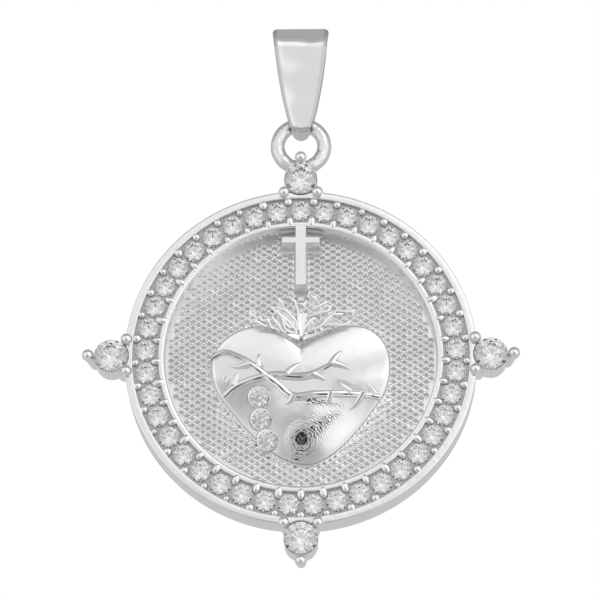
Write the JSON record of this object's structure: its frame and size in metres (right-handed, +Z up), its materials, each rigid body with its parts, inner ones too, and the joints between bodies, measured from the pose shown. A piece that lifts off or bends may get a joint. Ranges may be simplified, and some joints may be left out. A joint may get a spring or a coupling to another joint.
{
  "type": "medallion pendant",
  "caption": "Round medallion pendant: a domed heart with thorn vines, a flame and a cross in a stone-set rim with claw-set corner stones, swinging on a tapered strip bail.",
  "frame": {"origin": "the chain's seat: the middle of the bail's inside top", "axes": "+Z up, from the medallion to the bail; -Y the front with the heart; +X to the right seen from the front"},
  "size_m": [0.0306, 0.0042, 0.0405],
  "materials": {
    "plate": "cast silver alloy, polished and rhodium plated",
    "field": "rhodium plate over a beaded field",
    "zirconia": "faceted and polished cubic zirconia"
  },
  "bodies": {
    "bail": {"bail": "plate"},
    "medallion": {"jump_ring": "plate", "rim_frame": "plate", "field_plate": "field", "cross": "plate", "heart": "plate", "thorn_crown": "plate", "flame": "plate", "collet_north": "plate", "stone_north": "zirconia", "collet_east": "plate", "stone_east": "zirconia", "collet_south": "plate", "stone_south": "zirconia", "collet_west": "plate", "stone_west": "zirconia", "channel_stone_01": "zirconia", "channel_stone_02": "zirconia", "channel_stone_03": "zirconia", "channel_stone_04": "zirconia", "channel_stone_05": "zirconia", "channel_stone_06": "zirconia", "channel_stone_07": "zirconia", "channel_stone_08": "zirconia", "channel_stone_09": "zirconia", "channel_stone_10": "zirconia", "channel_stone_11": "zirconia", "channel_stone_12": "zirconia", "channel_stone_13": "zirconia", "channel_stone_14": "zirconia", "channel_stone_15": "zirconia", "channel_stone_16": "zirconia", "channel_stone_17": "zirconia", "channel_stone_18": "zirconia", "channel_stone_19": "zirconia", "channel_stone_20": "zirconia", "channel_stone_21": "zirconia", "channel_stone_22": "zirconia", "channel_stone_23": "zirconia", "channel_stone_24": "zirconia", "channel_stone_25": "zirconia", "channel_stone_26": "zirconia", "channel_stone_27": "zirconia", "channel_stone_28": "zirconia", "channel_stone_29": "zirconia", "channel_stone_30": "zirconia", "channel_stone_31": "zirconia", "channel_stone_32": "zirconia", "channel_stone_33": "zirconia", "channel_stone_34": "zirconia", "channel_stone_35": "zirconia", "channel_stone_36": "zirconia", "channel_stone_37": "zirconia", "channel_stone_38": "zirconia", "channel_stone_39": "zirconia", "channel_stone_40": "zirconia", "channel_stone_41": "zirconia", "heart_stone_1": "zirconia", "heart_stone_2": "zirconia", "heart_stone_3": "zirconia"}
  },
  "joints": [
    {"name": "medallion_swing", "type": "hinge", "parent": "bail", "child": "medallion", "pos_m": [0, 0, -0.00713], "axis": [1, 0, 0], "range_deg": [-115, 115]}
  ]
}
